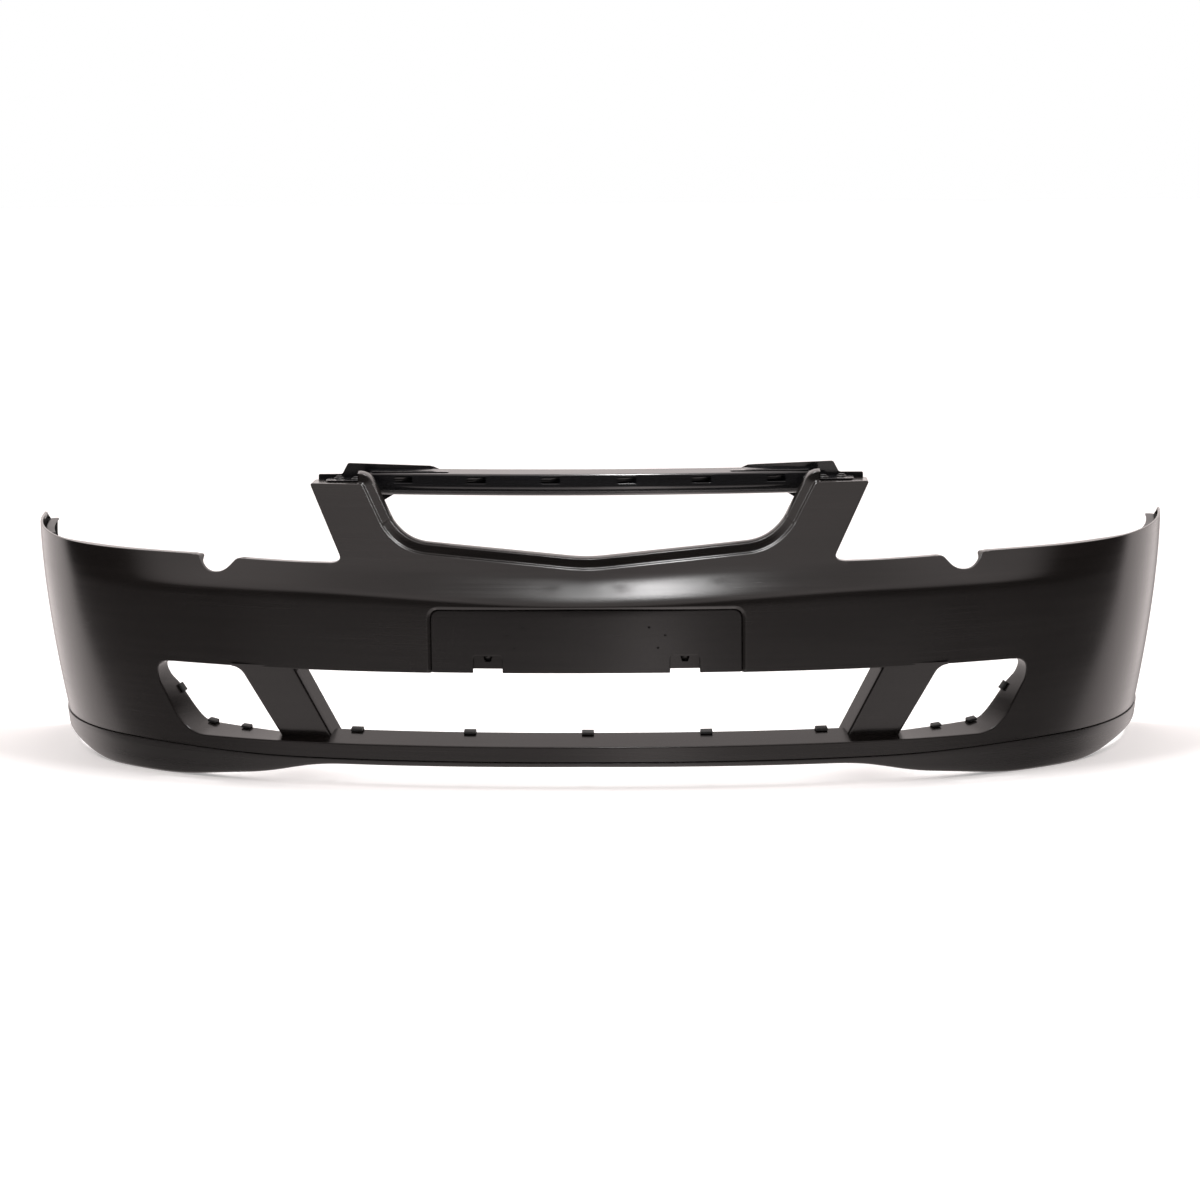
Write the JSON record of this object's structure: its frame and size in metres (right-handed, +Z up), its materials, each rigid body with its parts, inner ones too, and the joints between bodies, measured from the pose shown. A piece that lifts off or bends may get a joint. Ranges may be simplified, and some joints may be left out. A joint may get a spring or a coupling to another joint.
{
  "type": "bumper cover",
  "caption": "Thin moulded front bumper cover that wraps round to both wheel arches, with grille, plate and fog lamp openings, a lower lip, a grille carrier and its clips, rivets and screws.",
  "frame": {"origin": "middle of the overall box, on the ground plane under the lower lip", "axes": "+X to the side on the right of a person who faces the cover, +Y to the rear of the car, +Z up; the cover faces -Y"},
  "size_m": [1.8468, 0.565, 0.474],
  "materials": {
    "moulded_cover": "satin moulded polypropylene, ready for paint",
    "moulded_lip": "satin moulded polypropylene, ready for paint",
    "moulded_panel": "satin moulded polypropylene",
    "gloss_carrier": "smooth glossy black",
    "dark_plastic": "plain black nylon",
    "zinc_steel": "zinc plated"
  },
  "bodies": {
    "cover": {"bumper_fascia": "moulded_cover", "lower_lip": "moulded_lip", "number_plate_panel": "moulded_panel", "grille_carrier": "gloss_carrier", "right_side_retainer": "dark_plastic", "left_side_retainer": "dark_plastic", "right_rivet_1": "dark_plastic", "left_rivet_1": "dark_plastic", "right_rivet_2": "dark_plastic", "left_rivet_2": "dark_plastic", "right_retainer_screw_1": "zinc_steel", "left_retainer_screw_1": "zinc_steel", "right_retainer_screw_2": "zinc_steel", "left_retainer_screw_2": "zinc_steel", "lip_screw_centre": "zinc_steel", "right_lip_screw_1": "zinc_steel", "left_lip_screw_1": "zinc_steel", "right_lip_screw_2": "zinc_steel", "left_lip_screw_2": "zinc_steel", "right_lip_screw_3": "zinc_steel", "left_lip_screw_3": "zinc_steel", "grille_clip_1": "dark_plastic", "grille_clip_2": "dark_plastic", "grille_clip_3": "dark_plastic", "grille_clip_4": "dark_plastic", "grille_clip_5": "dark_plastic", "right_fog_clip_1": "dark_plastic", "left_fog_clip_1": "dark_plastic", "right_fog_clip_2": "dark_plastic", "left_fog_clip_2": "dark_plastic", "right_fog_clip_3": "dark_plastic", "left_fog_clip_3": "dark_plastic"},
    "right_rivet_pin_1_body": {"right_rivet_pin_1": "dark_plastic"},
    "left_rivet_pin_1_body": {"left_rivet_pin_1": "dark_plastic"},
    "right_rivet_pin_2_body": {"right_rivet_pin_2": "dark_plastic"},
    "left_rivet_pin_2_body": {"left_rivet_pin_2": "dark_plastic"}
  },
  "joints": [
    {"name": "right_rivet_pin_slide_1", "type": "slide", "parent": "cover", "child": "right_rivet_pin_1_body", "axis": [0, 0, 1], "range_m": [0, 0.006]},
    {"name": "left_rivet_pin_slide_1", "type": "slide", "parent": "cover", "child": "left_rivet_pin_1_body", "axis": [0, 0, 1], "range_m": [0, 0.006]},
    {"name": "right_rivet_pin_slide_2", "type": "slide", "parent": "cover", "child": "right_rivet_pin_2_body", "axis": [0, 0, 1], "range_m": [0, 0.006]},
    {"name": "left_rivet_pin_slide_2", "type": "slide", "parent": "cover", "child": "left_rivet_pin_2_body", "axis": [0, 0, 1], "range_m": [0, 0.006]}
  ]
}
